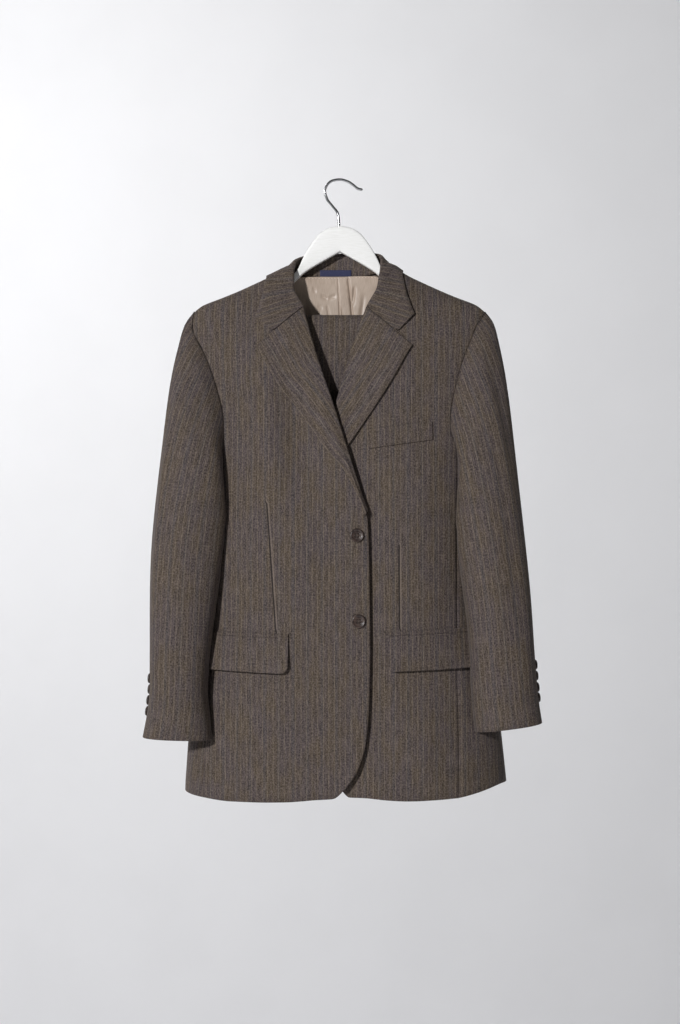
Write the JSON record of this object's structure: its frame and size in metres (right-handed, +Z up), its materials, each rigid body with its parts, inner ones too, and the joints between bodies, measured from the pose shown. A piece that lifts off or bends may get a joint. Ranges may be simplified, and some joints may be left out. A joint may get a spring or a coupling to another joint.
{
  "type": "two-piece suit on a hanger",
  "caption": "Hanging suit: open single-breasted notch-lapel jacket over trousers folded on the bar of a plain wooden coat hanger.",
  "frame": {"origin": "top of the inner side of the hanger's hook, where a rail bears", "axes": "+Z up, the suit's front faces -Y, and the wearer's left is at +X"},
  "size_m": [0.585, 0.1228, 0.9227],
  "materials": {
    "suit_cloth": "soft brown wool with fine pinstripes",
    "lining": "beige satin",
    "label": "plain woven ribbon",
    "buttons": "polished brown resin",
    "painted_wood": "white satin paint",
    "steel": "polished wire"
  },
  "bodies": {
    "root": {"back_left": "suit_cloth", "back_lining": "lining", "back_right": "suit_cloth", "chest_welt": "suit_cloth", "collar_fall": "suit_cloth", "collar_stand": "suit_cloth", "cuff_button_left_1": "buttons", "cuff_button_left_2": "buttons", "cuff_button_left_3": "buttons", "cuff_button_left_4": "buttons", "cuff_button_right_1": "buttons", "cuff_button_right_2": "buttons", "cuff_button_right_3": "buttons", "cuff_button_right_4": "buttons", "front_button_low": "buttons", "front_button_top": "buttons", "front_left": "suit_cloth", "front_right": "suit_cloth", "hanger_bar": "painted_wood", "hanger_board": "painted_wood", "hanger_hook": "steel", "lapel_left": "suit_cloth", "lapel_right": "suit_cloth", "neck_label": "label", "pocket_flap_left": "suit_cloth", "pocket_flap_right": "suit_cloth", "pocket_jet_left": "suit_cloth", "pocket_jet_right": "suit_cloth", "side_left": "suit_cloth", "side_right": "suit_cloth", "top_sleeve_left": "suit_cloth", "top_sleeve_right": "suit_cloth", "trouser_hips": "suit_cloth", "trouser_leg_left": "suit_cloth", "trouser_leg_right": "suit_cloth", "trouser_waistband": "suit_cloth", "under_sleeve_left": "suit_cloth", "under_sleeve_right": "suit_cloth"}
  },
  "joints": []
}
